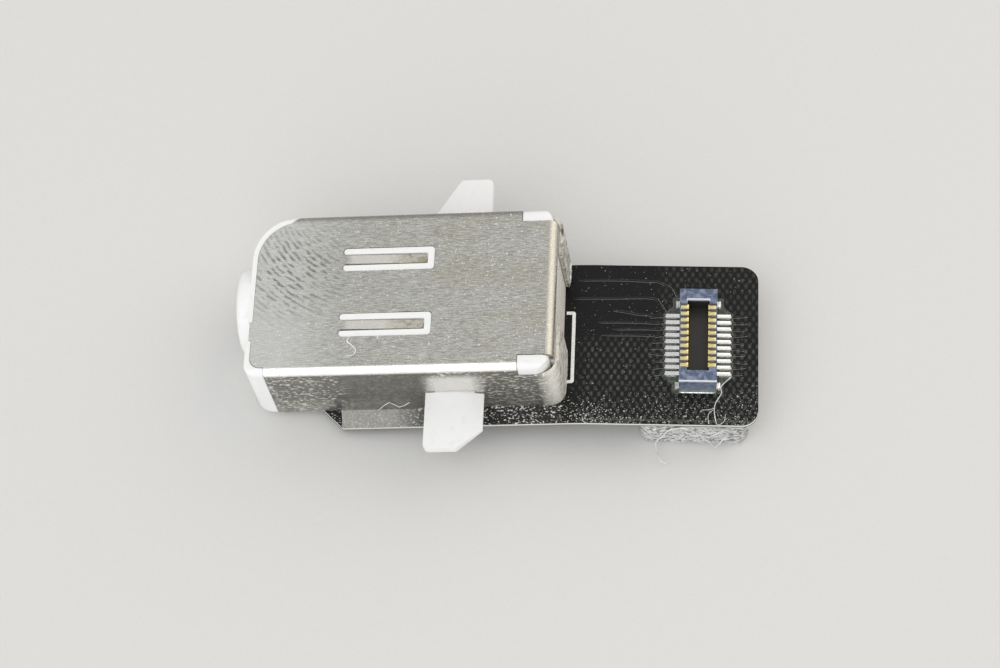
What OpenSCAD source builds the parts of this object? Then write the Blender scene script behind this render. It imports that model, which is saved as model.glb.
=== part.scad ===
// 3.5 mm audio jack socket in a folded shield can, on a flexible circuit with a board connector.
// Frame: the plug goes in along +X, Z is up, the origin is on the jack's axis at the flange face.

/* [Shield can] */
// Outside width of the can
body_w = 10; // [9:0.1:12]
// Middle of the can to the jack axis, towards the far side
axis_shift = 0.2; // [0:0.05:0.3]
// Flange face to the outside of the rear flaps
body_len = 17.2; // [16.6:0.05:20]
// Jack axis up to the top of the can
axis_to_top = 2.45; // [2.4:0.05:3.2]
// Jack axis down to the circuit that the socket is soldered to
axis_to_seat = 2.1; // [2.05:0.05:2.8]
// Thickness of the steel sheet
sheet = 0.2; // [0.1:0.05:0.3]
// Outside radius of the folds along the top
bend_r = 0.45; // [0.35:0.05:0.6]
// Outside radius of the upright rear corners
rear_corner_r = 0.9; // [0.7:0.05:0.95]
// Flange face to the front edge of the top plate
plate_setback = 0.3; // [0.2:0.05:0.5]
// Flange face to the front edge of the near side wall
near_wall_x = 1.1; // [1:0.1:1.8]
// Flange face to the front edge of the far side wall
far_wall_x = 2.6; // [2.6:0.1:3.4]
// Length of the slanted start of the far fold
far_slant = 0.5; // [0.2:0.05:0.6]
// Length of the open corner ahead of the rear wall
relief_len = 1.95; // [1.2:0.05:2.4]
// Width of the open corner, in from the side wall
relief_w = 0.85; // [0.85:0.05:1.2]
// Depth of the open corner, down the side wall
relief_drop = 0.9; // [0.7:0.05:1.2]
// Middle of the can to the free end of the near rear flap
near_flap_y = 1.65; // [0.5:0.05:3]
// Middle of the can to the free end of the far rear flap
far_flap_y = 2.45; // [0.5:0.05:3]

/* [Spring tongues in the top plate] */
// Flange face to the root of the tongues
tongue_x = 5.1; // [4:0.1:6]
// Length of the cut round each tongue
tongue_len = 5.15; // [3:0.05:7]
// Middle of the can to the middle of each tongue
tongue_y = 2.05; // [1.6:0.05:2.6]
// Width of a tongue
tongue_w = 0.53; // [0.4:0.01:0.8]
// Width of the cut round a tongue
tongue_cut = 0.47; // [0.3:0.01:0.6]
// Corner radius at the tip of a tongue and of its cut
tongue_tip_r = 0.2; // [0.05:0.01:0.2]
// How far the tip of a tongue is pressed in
tongue_drop = 0.12; // [0.05:0.01:0.2]

/* [Housing] */
// Outside diameter of the collar round the mouth
collar_d = 4.9; // [4.6:0.05:5]
// Length of the collar ahead of the flange
collar_len = 0.8; // [0.6:0.05:2]
// Radius of the collar's rim
collar_rim_r = 0.3; // [0.1:0.05:0.4]
// Bore of the mouth, for a 3.5 mm plug
bore_d = 3.6; // [3.55:0.01:3.7]
// Countersink of the mouth
mouth_chamfer = 0.25; // [0.1:0.05:0.3]
// Flange face to the end of the close-fitting stretch of bore
guide_x = 1.8; // [1.2:0.1:1.8]
// Bore of the chamber behind it, where the springs reach in
chamber_d = 3.94; // [3.92:0.01:3.98]
// Flange face to the blind end of the chamber
chamber_x = 13.9; // [13.5:0.1:14.5]
// Radius of the near front corner
near_corner_r = 0.6; // [0.3:0.1:1]
// Radius of the far front corner
far_corner_r = 2.6; // [2:0.1:2.6]
// Step from the far side of the can in to the white front
far_step = 0.1; // [0.05:0.01:0.3]
// Radius of the flange's lower front edge, beside the collar
low_edge_r = 1; // [0.4:0.1:1]
// Length of the notch in the flange's top edge
notch_len = 1.2; // [0.8:0.1:1.6]
// Middle of the can to the middle of the notch
notch_y = 2.3; // [2:0.1:2.6]
// Depth of the notch
notch_drop = 0.8; // [0.3:0.05:1]

/* [Ears] */
// Flange face to the front of the ears
ear_x = 9.7; // [8:0.1:11]
// Length of an ear along the socket
ear_len = 3.2; // [2.6:0.1:4]
// How far an ear stands out from the can
ear_reach = 3.45; // [2.4:0.05:4.5]
// Thickness of an ear
ear_t = 0.45; // [0.4:0.05:1.2]
// Jack axis down to the top of the ears
ear_drop = 0.1; // [0:0.05:0.6]
// Length of the slanted corner along the socket
ear_slant_x = 1.4; // [0.8:0.1:1.6]
// Length of the near ear's slanted corner across the socket
near_ear_slant = 1.2; // [0.8:0.1:2.2]
// Length of the far ear's slanted corner across the socket
far_ear_slant = 2; // [0.8:0.1:2.2]
// Fall of the ramp on top of the slanted corner
ear_ramp = 0.3; // [0.1:0.05:0.4]
// How far an ear's stem through the can is set in from its ends
ear_stem_in = 0.5; // [0.3:0.05:0.8]

/* [Contact springs] */
// Thickness of the spring strip
strip_t = 0.2; // [0.1:0.02:0.22]
// Height of the spring arms
strip_h = 0.9; // [0.7:0.05:1]
// Jack axis to the middle of a spring's root
root_y = 2.9; // [2.8:0.05:3]
// Jack axis to the nose of a spring at rest
nose_r = 1.45; // [1.4:0.05:1.55]
// Root of a spring to its nose
arm_len = 2.8; // [2.6:0.05:2.9]
// Length of the solder foot
foot_len = 0.7; // [0.5:0.05:0.75]

/* [Flexible circuit] */
// Thickness of the film
film_t = 0.15; // [0.1:0.01:0.2]
// Jack axis to the near edge of the film
film_near = 6.3; // [5.8:0.1:7.2]
// Jack axis to the far edge of the film
film_far = 3.65; // [3.6:0.05:4.3]
// Flange face to the front edge of the film
film_x = 2.6; // [2:0.1:3]
// Size of the slanted near front corner of the film
film_slant = 2.2; // [1:0.1:2.6]
// Angle by which the tail dips behind the can
tail_dip = 5.2; // [3:0.1:8]
// Length along which the tail bends, from the rear flaps on
bend_len = 1.5; // [1:0.1:2]
// End of the bend to the end of the tail
tail_len = 9.06; // [8.6:0.02:14]
// Radius of the tail's corners
tail_corner_r = 0.95; // [0.4:0.05:1.5]
// Thickness of the plate under the socket
socket_plate_t = 0.2; // [0.1:0.05:0.25]
// Thickness of the plate under the connector
tail_plate_t = 0.1; // [0.1:0.05:0.3]

/* [Foam pad] */
// Thickness of the pad
foam_t = 2.1; // [1:0.05:2.4]
// Length of the pad along the tail
foam_len = 6; // [4:0.05:7]
// Pad to the end of the tail
foam_end = 0.5; // [0.2:0.05:1]
// Corner radius of the pad
foam_corner_r = 0.6; // [0.2:0.1:1]

/* [Board connector] */
// Number of contacts in each row
row_count = 10; // [6:1:10]
// Spacing of the contacts
pitch = 0.4; // [0.36:0.01:0.45]
// Tail's end to the middle of the connector
connector_end = 3.35; // [2.6:0.05:4]
// Middle of the film to the middle of the connector, towards the near edge
connector_shift = 0.07; // [0:0.01:0.5]
// Width of the connector body
connector_w = 2.08; // [2:0.02:2.3]
// Height of the connector body
connector_h = 1.3; // [1:0.05:1.6]
// Solid end of the body beyond the last contact
connector_cheek = 1.08; // [0.9:0.02:1.4]
// Width of the slot that takes the mating half
slot_w = 1.2; // [1:0.02:1.24]
// Floor of the slot above the film
slot_floor = 0.35; // [0.3:0.05:0.5]
// Width of a contact's foot
pin_w = 0.24; // [0.15:0.01:0.26]
// Width of a contact over the wall
head_w = 0.29; // [0.2:0.01:0.29]
// Thickness of a contact
pin_t = 0.12; // [0.08:0.01:0.14]
// Width over the contacts' feet
pin_span = 3.6; // [3.2:0.02:4]
// Plastic left on each side of a hold-down
hold_wall = 0.14; // [0.1:0.01:0.2]
// Height of a hold-down
hold_h = 0.7; // [0.5:0.05:0.9]
// Width over a hold-down's feet
hold_span = 2.5; // [2.4:0.05:3.2]

/* [Hidden] */
$fn = 48;
// Names: springs with the place of the nose along the axis and the side, -1 near and 1 far
springs = [
    ["sleeve_contact", 2.6, -1],
    ["second_ring_contact", 4.9, 1],
    ["first_ring_contact", 7.2, -1],
    ["tip_contact", 11.2, 1],
    ["detect_contact", 11.6, -1],
];
// Names: contacts of the board connector with their row and place in it
pins = [
    for (row = [0, 1], i = [0 : row_count - 1])
        [str("board_contact_", row == 0 ? "a" : "b", i + 1), row, i]
];

// Clearances, how far the plastic lies below the can's surface in its openings, and the overshoot of a cut
fit = 0.03;
slip = 0.08;
sink = 0.05;
over = 1;

half_w = body_w / 2;
fold_y = half_w - bend_r;
wall_x = body_len - sheet - fit;
inner_x = wall_x - sheet - fit;
relief_x = wall_x - relief_len;
relief_z = axis_to_top - relief_drop;
slant_x = far_wall_x - far_slant;
reach = body_len + 2 * body_w;

ear_top = -ear_drop;
ear_out = half_w + ear_reach;
ear_corner_r = 0.3;
ear_root = 0.6;

// A spring's outline from its root: tail of the root, start of the slope, nose and turned-out tip
root_front = 0.3;
root_back = 0.45;
slope_len = 1.05;
nose_half = 0.12;
tip_len = 0.6;
tip_rise = 0.55;
nose_in = root_y - nose_r - strip_t / 2;
spring_swing = 7;
pocket_out = root_y + strip_t / 2 + arm_len * sin(spring_swing) + slip;
pocket_top = strip_h / 2 + slip;
chamber_wall = 0.3;
pocket_front = tip_len + 2 * slip;

seat_z = -axis_to_seat;
film_mid_z = seat_z - film_t / 2;
film_mid_y = (film_far - film_near) / 2;
tail_r = bend_len / (tail_dip * PI / 180);
tail_x = body_len + tail_r * sin(tail_dip);
tail_z = film_mid_z - tail_r * (1 - cos(tail_dip));
tail_end_x = tail_x + tail_len * cos(tail_dip);

connector_y = film_mid_y - connector_shift;
row_half = (row_count - 1) * pitch / 2;
connector_half = row_half + connector_cheek;
slot_half = row_half + pitch;
pin_slot = slot_w / 2;
pin_back = connector_w / 2 - pin_t;
pin_top = connector_h - pin_t;
pin_dip = slot_floor + pin_t;
hold_t = 0.12;
hold_w = connector_half - slot_half - 2 * hold_wall;
hold_side = (connector_w - hold_t) / 2;

steel = [0.71, 0.68, 0.63];
white_plastic = [0.93, 0.93, 0.92];
gold = [0.85, 0.66, 0.33];
tin = [0.78, 0.78, 0.77];
black_film = [0.07, 0.07, 0.08];
black_plate = [0.12, 0.12, 0.11];
grey_foam = [0.66, 0.67, 0.68];
blue_plastic = [0.19, 0.23, 0.33];

// Unit normal of the stretch from a to b
function normal(a, b) = [a[1] - b[1], b[0] - a[0]] / norm(b - a);
// Mitred offset direction at point i of a line
function miter(line, i) =
    i == 0 ? normal(line[0], line[1]) :
    i == len(line) - 1 ? normal(line[i - 1], line[i]) :
    let (n = normal(line[i - 1], line[i]), m = normal(line[i], line[i + 1])) (n + m) / (1 + n * m);
// Outline of a strip of thickness t along a line
function strip(line, t) = concat(
    [for (i = [0 : len(line) - 1]) line[i] + miter(line, i) * t / 2],
    [for (i = [len(line) - 1 : -1 : 0]) line[i] - miter(line, i) * t / 2]
);

// Box between two corners
module box(low, high) {
    translate(low) cube(high - low);
}

// What a fillet of radius r takes off the corner at +x +y, along z
module fillet_cut(r, length) {
    difference() {
        translate([0, 0, -length / 2]) cube([r + over, r + over, length]);
        cylinder(r = r, h = length + over, center = true);
    }
}

// The can's outside with its rear at x = rear, or a shape inside it by inset: open to the front and below
module can_block(inset, rear) {
    w = half_w - inset;
    top = axis_to_top - inset;
    fold = bend_r - inset > fit ? bend_r - inset : fit;
    corner = rear_corner_r - inset;
    difference() {
        box([-reach, -w, -reach], [rear, w, top]);
        for (s = [0, 1]) mirror([0, s, 0]) {
            translate([0, w - fold, top - fold]) rotate([90, 0, 90]) fillet_cut(fold, 4 * reach);
            translate([rear - corner, w - corner, 0]) fillet_cut(corner, 4 * reach);
        }
        translate([rear - fold, 0, top - fold]) rotate([90, 0, 0]) fillet_cut(fold, 4 * reach);
    }
}

// What rounds off the two corners at the end of a tongue, or of its cut, of width w
module tip_corners(end, w) {
    translate([end - tongue_tip_r, tongue_y, 0])
        for (s = [0, 1]) mirror([0, s, 0])
            translate([0, w / 2 - tongue_tip_r, 0]) fillet_cut(tongue_tip_r, 2 * reach);
}

// Slot round one tongue, with round ends beside the root, or what fills it but for a margin
module tongue_slot(margin) {
    w = tongue_w / 2 + tongue_cut - margin;
    inner_w = tongue_w / 2 + margin;
    z = axis_to_top - sheet - over;
    root = tongue_x + tongue_cut / 2;
    end = tongue_x + tongue_len - margin;
    difference() {
        box([root, tongue_y - w, z], [end, tongue_y + w, axis_to_top + over]);
        box(
            [tongue_x, tongue_y - inner_w, z - over],
            [tongue_x + tongue_len - tongue_cut + margin, tongue_y + inner_w, axis_to_top + 2 * over]
        );
        tip_corners(end, 2 * w);
    }
    for (s = [-1, 1])
        translate([root, tongue_y + s * (tongue_w + tongue_cut) / 2, z])
            cylinder(r = tongue_cut / 2 - margin, h = sheet + 2 * over);
}

// The tongue, cut free and pressed in at its tip
module tongue() {
    end = tongue_x + tongue_len - tongue_cut;
    difference() {
        translate([0, tongue_y + tongue_w / 2, 0]) rotate([90, 0, 0]) linear_extrude(tongue_w)
            polygon([
                [tongue_x, axis_to_top],
                [end, axis_to_top - tongue_drop],
                [end, axis_to_top - tongue_drop - sheet],
                [tongue_x, axis_to_top - sheet],
            ]);
        tip_corners(end, tongue_w);
    }
}

// Upright prism of the top plate from its front edge back, grown by a margin
module plate_outline(margin) {
    far_r = far_corner_r - plate_setback;
    difference() {
        box([plate_setback - margin, -fold_y - margin, -reach], [reach, fold_y + margin, reach]);
        translate([plate_setback + near_corner_r, near_corner_r - fold_y, 0]) rotate(180)
            fillet_cut(near_corner_r + margin, 4 * reach);
        translate([far_corner_r, fold_y - far_r, 0]) rotate(90) fillet_cut(far_r + margin, 4 * reach);
    }
}

// Top plate, side walls and rear wall before their openings are cut, or the room for them with a margin
module folded_sheet(margin) {
    intersection() {
        difference() {
            can_block(-margin, wall_x + margin);
            can_block(sheet + margin, wall_x - sheet - margin);
        }
        union() {
            plate_outline(margin);
            box([near_wall_x - margin, -reach, -reach], [reach, 0, reach]);
            translate([-margin, 0, -reach]) linear_extrude(2 * reach)
                polygon([
                    [slant_x, 0],
                    [slant_x, fold_y],
                    [far_wall_x, half_w],
                    [far_wall_x, reach],
                    [reach, reach],
                    [reach, 0],
                ]);
        }
    }
}

// The side walls' rear ends, turned in round the corners to lie behind the rear wall
module rear_flaps() {
    difference() {
        can_block(0, body_len);
        can_block(sheet, body_len - sheet);
        box([-2 * reach, -reach, -2 * reach], [relief_x - over, reach, reach]);
        box([0, -near_flap_y, -2 * reach], [reach, far_flap_y, reach]);
        box([0, -reach, relief_z], [reach, reach, reach]);
    }
}

module shield_can() {
    color(steel) translate([0, -axis_shift, 0]) {
        difference() {
            union() {
                difference() {
                    folded_sheet(0);
                    for (s = [0, 1]) mirror([0, s, 0])
                        box([relief_x, half_w - relief_w, -2 * reach], [reach, reach, reach]);
                }
                rear_flaps();
            }
            box([-reach, -reach, -2 * reach], [reach, reach, seat_z]);
            for (s = [0, 1]) mirror([0, s, 0]) {
                box(
                    [ear_x + ear_stem_in - slip, half_w - sheet - over, -reach],
                    [ear_x + ear_len - ear_stem_in + slip, half_w + over, ear_top + slip]
                );
                tongue_slot(0);
                box(
                    [tongue_x, tongue_y - tongue_w / 2, axis_to_top - sheet - over],
                    [tongue_x + tongue_len - tongue_cut, tongue_y + tongue_w / 2, axis_to_top + over]
                );
            }
        }
        for (s = [0, 1]) mirror([0, s, 0]) tongue();
    }
}

// White front of the housing: flush with the near wall, with the flange's lip level with the top plate
module front_block() {
    near = half_w - fit;
    far = half_w - far_step;
    low = seat_z + fit;
    top = axis_to_top - fit;
    low_edge_y = collar_d / 2 + axis_shift;
    difference() {
        intersection() {
            can_block(fit, body_len);
            box([0, -near, low], [far_wall_x - fit, far, top]);
        }
        translate([near_corner_r, near_corner_r - near, 0]) rotate(180)
            fillet_cut(near_corner_r, 2 * reach);
        translate([far_corner_r, far - far_corner_r, 0]) rotate(90) fillet_cut(far_corner_r, 2 * reach);
        for (s = [-1, 1]) translate([low_edge_r, s * (reach + low_edge_y), low + low_edge_r])
            rotate([-90, 0, 180]) fillet_cut(low_edge_r, 2 * reach);
        folded_sheet(fit);
        translate([0, -notch_y, 0])
            box([-over, -notch_len / 2, top - notch_drop], [plate_setback, notch_len / 2, reach]);
    }
}

// Pads of the housing in the tongue slots and the open corners, a little below the can's surface
module pads() {
    intersection() {
        can_block(sink, inner_x);
        for (s = [0, 1]) mirror([0, s, 0]) {
            tongue_slot(fit);
            box([relief_x + fit, half_w - relief_w + fit, relief_z + fit], [reach, reach, reach]);
        }
    }
}

// Near ear: a flat plate with a slanted rear corner, ramped on top, on a narrower stem through the can
module ear(slant) {
    end = ear_x + ear_len;
    ramp_x = end - ear_slant_x;
    low = ear_top - ear_t;
    root = ear_root - half_w;
    difference() {
        union() {
            box([ear_x, -ear_out, low], [end, -half_w - fit, ear_top]);
            box([ear_x + ear_stem_in, -half_w - over, low], [end - ear_stem_in, root, ear_top]);
        }
        translate([ear_x + ear_corner_r, ear_corner_r - ear_out, 0]) rotate(180)
            fillet_cut(ear_corner_r, reach);
        translate([0, 0, -reach]) linear_extrude(2 * reach)
            polygon([
                [ramp_x, -ear_out],
                [end, slant - ear_out],
                [end + over, slant - ear_out],
                [end + over, -2 * ear_out],
                [ramp_x, -2 * ear_out],
            ]);
        translate([0, root + over, 0]) rotate([90, 0, 0]) linear_extrude(reach)
            polygon([[ramp_x, ear_top], [end, ear_top - ear_ramp], [end + over, reach], [ramp_x, reach]]);
    }
}

// Room for one spring: the pocket that its arm swings in, the slot that holds its root, and its foot
module spring_room(nose_x) {
    root_x = nose_x + arm_len;
    wall = chamber_d / 2 + chamber_wall;
    box([nose_x - pocket_front, wall, -reach], [root_x - root_front - slip, pocket_out, pocket_top]);
    box([nose_x - pocket_front, 0, -pocket_top], [nose_x + slope_len, wall + over / 2, pocket_top]);
    box(
        [root_x - root_front - 2 * slip, root_y - strip_t / 2 - slip, -reach],
        [root_x + root_back + slip, root_y + strip_t / 2 + slip, pocket_top]
    );
    box(
        [root_x - root_front - 2 * slip, root_y - strip_t / 2 - slip, -reach],
        [root_x + root_back + 2 * slip, root_y + foot_len + 2 * slip, seat_z + strip_t + slip]
    );
}

module housing() {
    color(white_plastic) difference() {
        union() {
            translate([0, -axis_shift, 0]) {
                intersection() {
                    can_block(sheet + fit, inner_x);
                    box([slant_x, -reach, seat_z + fit], [reach, reach, reach]);
                }
                front_block();
                pads();
                ear(near_ear_slant);
                translate([2 * ear_x + ear_len, 0, 0]) rotate(180) ear(far_ear_slant);
            }
            rotate([0, -90, 0]) rotate_extrude()
                union() {
                    square([collar_d / 2 - collar_rim_r, collar_len]);
                    square([collar_d / 2, collar_len - collar_rim_r]);
                    translate([collar_d / 2 - collar_rim_r, collar_len - collar_rim_r]) circle(collar_rim_r);
                }
        }
        rotate([0, 90, 0]) translate([0, 0, -collar_len - over])
            cylinder(d = bore_d, h = guide_x + collar_len + 2 * over);
        rotate([0, 90, 0]) translate([0, 0, guide_x]) cylinder(d = chamber_d, h = chamber_x - guide_x);
        rotate([0, 90, 0]) translate([0, 0, -collar_len])
            cylinder(r1 = bore_d / 2 + mouth_chamfer, r2 = bore_d / 2, h = mouth_chamfer);
        for (s = springs) mirror([0, s[2] < 0 ? 1 : 0, 0]) spring_room(s[1]);
        translate([tongue_x, -axis_shift, axis_to_top - sheet - tongue_drop - fit])
            for (s = [-1, 1])
                box(
                    [0, s * tongue_y - tongue_w / 2 - slip, 0],
                    [tongue_len - tongue_cut + slip, s * tongue_y + tongue_w / 2 + slip, reach]
                );
    }
}

// One stamped spring on the far side: root and foot on the circuit, arm forward, nose in the bore
module spring(nose_x) {
    line = [
        [root_back, 0],
        [slope_len - arm_len, 0],
        [nose_half - arm_len, -nose_in],
        [-nose_half - arm_len, -nose_in],
        [-tip_len - arm_len, tip_rise - nose_in],
    ];
    color(gold) translate([nose_x + arm_len, root_y, 0]) {
        translate([0, 0, -strip_h / 2]) linear_extrude(strip_h) polygon(strip(line, strip_t));
        box([-root_front, -strip_t / 2, seat_z], [root_back, strip_t / 2, 0]);
        box([-root_front, -strip_t / 2, seat_z], [root_back, foot_len, seat_z + strip_t]);
    }
}

// Upright prism of the film's outline from above, between two stations along the socket
module film_outline(x0, x1) {
    difference() {
        box([x0, -film_near, -reach], [x1, film_far, reach]);
        translate([0, 0, -reach]) linear_extrude(2 * reach)
            polygon([
                [film_x - over, -film_near - over],
                [film_x - over, film_slant - film_near + over],
                [film_x + film_slant + over, -film_near - over],
            ]);
        for (s = [0, 1]) mirror([0, s, 0])
            translate([tail_end_x - tail_corner_r, (s == 0 ? film_far : film_near) - tail_corner_r, 0])
                fillet_cut(tail_corner_r, 2 * reach);
    }
}

// Children in the tail's own frame: x along it from the end of the bend, z off the middle of the film
module on_tail() {
    translate([tail_x, 0, tail_z]) rotate([0, tail_dip, 0]) children();
}

module flex_circuit() {
    steps = 4;
    line = concat(
        [[film_x, film_mid_z]],
        [
            for (i = [0 : steps - 1])
                let (a = tail_dip * i / steps)
                    [body_len + tail_r * sin(a), film_mid_z - tail_r * (1 - cos(a))]
        ],
        [[tail_x, tail_z], [tail_x, tail_z] + (tail_len + over) * [cos(tail_dip), -sin(tail_dip)]]
    );
    color(black_film) intersection() {
        translate([0, reach, 0]) rotate([90, 0, 0]) linear_extrude(2 * reach) polygon(strip(line, film_t));
        film_outline(film_x, tail_end_x);
    }
}

module socket_plate() {
    color(black_plate) intersection() {
        box([0, -reach, seat_z - film_t - socket_plate_t], [reach, reach, seat_z - film_t]);
        film_outline(film_x, body_len);
    }
}

module tail_plate() {
    color(black_plate) intersection() {
        on_tail()
            box(
                [tail_len - foam_end - foam_len, -reach, -film_t / 2 - tail_plate_t],
                [tail_len + over, reach, -film_t / 2]
            );
        film_outline(0, tail_end_x);
    }
}

module foam_pad() {
    low = -film_t / 2 - tail_plate_t - foam_t;
    half = [foam_len, film_near + film_far, 0] / 2;
    color(grey_foam) on_tail() translate([tail_len - foam_end - half[0], film_mid_y, low]) difference() {
        box(-half, half + [0, 0, foam_t]);
        for (a = [0, 1], b = [0, 1]) mirror([a, 0, 0]) mirror([0, b, 0])
            translate(half - [foam_corner_r, foam_corner_r, 0]) fillet_cut(foam_corner_r, 2 * reach);
    }
}

// Children in the connector's own frame, on the film: x across its rows, y along them
module on_connector() {
    on_tail() translate([tail_len - connector_end, connector_y, film_t / 2]) children();
}

// Children at contact i of a row; row 0 faces the socket
module at_pin(row, i) {
    mirror([row == 0 ? 1 : 0, 0, 0]) translate([0, i * pitch - row_half, 0]) children();
}

module connector_body() {
    groove = head_w / 2 + fit;
    room = pin_t / 2 + fit;
    color(blue_plastic) on_connector() difference() {
        box([-connector_w / 2, -connector_half, 0], [connector_w / 2, connector_half, connector_h]);
        box([-slot_w / 2, -slot_half, slot_floor], [slot_w / 2, slot_half, connector_h + over]);
        for (p = pins) at_pin(p[1], p[2]) difference() {
            box([pin_slot - room, -groove, -over], [connector_w, groove, connector_h + over]);
            box([pin_slot + room, -pitch, -reach], [pin_back - room, pitch, pin_top - pin_t - fit]);
        }
        for (s = [0, 1]) mirror([0, s, 0]) strap(fit);
    }
}

// One stamped contact: foot on the film, up the outside of the wall, over it and down into the slot
module board_contact(row, i) {
    half_t = pin_t / 2;
    line = [
        [pin_span / 2, half_t],
        [pin_back, half_t],
        [pin_back, pin_top - half_t],
        [pin_slot, pin_top - half_t],
        [pin_slot, pin_dip],
    ];
    outline = strip(line, pin_t);
    color(gold) on_connector() at_pin(row, i) {
        translate([0, pin_w / 2, 0]) rotate([90, 0, 0]) linear_extrude(pin_w) polygon(outline);
        intersection() {
            translate([0, head_w / 2, 0]) rotate([90, 0, 0]) linear_extrude(head_w) polygon(outline);
            box([0, -head_w, pin_t], [connector_w / 2, head_w, connector_h]);
        }
    }
}

// A hold-down's bent strap through the far end of the connector, or the room for it with a margin round it
module strap(margin) {
    half_t = hold_t / 2;
    line = [
        [hold_span / 2, half_t],
        [hold_side, half_t],
        [hold_side, hold_h - half_t],
        [-hold_side, hold_h - half_t],
        [-hold_side, half_t],
        [-hold_span / 2, half_t],
    ];
    translate([0, connector_half - hold_wall + margin, 0]) rotate([90, 0, 0])
        linear_extrude(hold_w + 2 * margin) polygon(strip(line, hold_t + 2 * margin));
}

module hold_down(side) {
    color(tin) on_connector() mirror([0, side < 0 ? 1 : 0, 0]) strap(0);
}

housing();
shield_can();
flex_circuit();
socket_plate();
tail_plate();
foam_pad();
connector_body();
hold_down(1);  // hold_down_far
hold_down(-1);  // hold_down_near
for (s = springs)
    mirror([0, s[2] < 0 ? 1 : 0, 0]) spring(s[1]);
for (p = pins)
    board_contact(p[1], p[2]);
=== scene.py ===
"""Looks of an audio jack socket on a flexible circuit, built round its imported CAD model."""

import math
import random

import bmesh
import bpy
from mathutils import Matrix, Vector, noise


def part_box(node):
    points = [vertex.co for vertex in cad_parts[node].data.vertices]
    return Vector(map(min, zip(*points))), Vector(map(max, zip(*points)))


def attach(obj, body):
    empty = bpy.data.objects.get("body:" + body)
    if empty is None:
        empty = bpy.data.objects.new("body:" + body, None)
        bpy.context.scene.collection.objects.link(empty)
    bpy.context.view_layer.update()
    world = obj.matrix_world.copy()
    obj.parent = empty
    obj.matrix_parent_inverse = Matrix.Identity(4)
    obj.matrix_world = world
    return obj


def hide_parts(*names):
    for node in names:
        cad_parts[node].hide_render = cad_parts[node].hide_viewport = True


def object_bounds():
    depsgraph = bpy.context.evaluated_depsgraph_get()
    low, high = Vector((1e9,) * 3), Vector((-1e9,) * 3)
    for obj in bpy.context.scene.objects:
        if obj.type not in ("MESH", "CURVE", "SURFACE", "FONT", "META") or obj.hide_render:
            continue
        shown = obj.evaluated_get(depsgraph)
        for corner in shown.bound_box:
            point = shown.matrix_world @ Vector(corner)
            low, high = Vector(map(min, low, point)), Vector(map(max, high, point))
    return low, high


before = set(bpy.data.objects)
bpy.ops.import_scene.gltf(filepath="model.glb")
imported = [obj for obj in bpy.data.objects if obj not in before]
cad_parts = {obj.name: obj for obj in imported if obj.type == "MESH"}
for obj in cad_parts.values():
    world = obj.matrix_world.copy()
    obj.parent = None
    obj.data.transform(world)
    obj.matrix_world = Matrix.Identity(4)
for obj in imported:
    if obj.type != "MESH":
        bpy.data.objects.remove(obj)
cad_low, cad_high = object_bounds()


# Housing: one moulding of white glass-filled nylon with the collar, the flange and the two ears.
# It is pressed up into the can from below, and shows round the front, in the slots and at the ears.

MM = 0.001  # metres in a millimetre, the unit of the sizes in this file
SHARP = math.radians(32)  # edges that turn more than this are corners, and less are curves
FLAT = math.radians(0.3)  # faces that turn less than this are one flat face
SAME = 0.001  # points closer than this are one point


def linear(code):
    """The linear colour of an sRGB hex value."""
    parts = [int(code[i : i + 2], 16) / 255 for i in (1, 3, 5)]
    return (*((c / 12.92 if c <= 0.04045 else ((c + 0.055) / 1.055) ** 2.4) for c in parts), 1.0)


def add(tree, kind, *sockets, **settings):
    """Adds a shader node, gives its sockets values or other nodes' outputs, and returns its main output.

    Sockets come in the node's order or by name, and a name in small letters is one of its properties.
    """
    made = tree.nodes.new(f"ShaderNode{kind}")
    for name in [n for n in settings if n.islower()]:
        setattr(made, name, settings.pop(name))
    given = list(zip([s for s in made.inputs if s.enabled], sockets))
    given += [(made.inputs[name.replace("_", " ")], value) for name, value in settings.items()]
    for socket, value in given:
        if isinstance(value, bpy.types.NodeSocket):
            tree.links.new(value, socket)
        else:
            socket.default_value = linear(value) if isinstance(value, str) else value
    return next(s for s in made.outputs if s.enabled)


def start(name, **sockets):
    """A new material: itself, its tree, its shader, and the place on the part in millimetres."""
    made = bpy.data.materials.new(name)
    made.use_nodes = True
    tree = made.node_tree
    shader = tree.nodes["Principled BSDF"]
    for socket, value in sockets.items():
        shader.inputs[socket.replace("_", " ")].default_value = value
    metres = add(tree, "TexCoord").node.outputs["Object"]
    return made, tree, shader, add(tree, "VectorMath", metres, 1 / MM, operation="SCALE")


def patches(tree, place, size, low, high, turn=0.0, detail=2.0):
    """A mask from 0 to 1 of soft blotches of a size in millimetres, from low to high in the noise."""
    scale = [1 / s for s in (size if isinstance(size, tuple) else (size,) * 3)]
    turned = add(tree, "VectorRotate", rotation_type="Z_AXIS", Vector=place, Angle=turn)
    laid = add(tree, "VectorMath", turned, scale, operation="MULTIPLY")
    cloud = add(tree, "TexNoise", Vector=laid, Scale=1.0, Detail=detail)
    return add(tree, "MapRange", cloud, low, high)


def softened(node, edge):
    """A CAD node's mesh in millimetres, with its flat faces whole and its corners rounded by edge."""
    shape = bmesh.new()
    shape.from_mesh(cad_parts[node].data)
    bmesh.ops.scale(shape, vec=(1 / MM,) * 3, verts=shape.verts)
    bmesh.ops.remove_doubles(shape, verts=shape.verts, dist=SAME)
    bmesh.ops.dissolve_limit(shape, angle_limit=FLAT, verts=shape.verts, edges=shape.edges)
    corners = [e for e in shape.edges if e.is_manifold and e.calc_face_angle(0) > SHARP]
    bmesh.ops.bevel(
        shape, geom=corners, offset=edge, segments=2, profile=0.6, affect="EDGES", clamp_overlap=True
    )
    return shape


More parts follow.
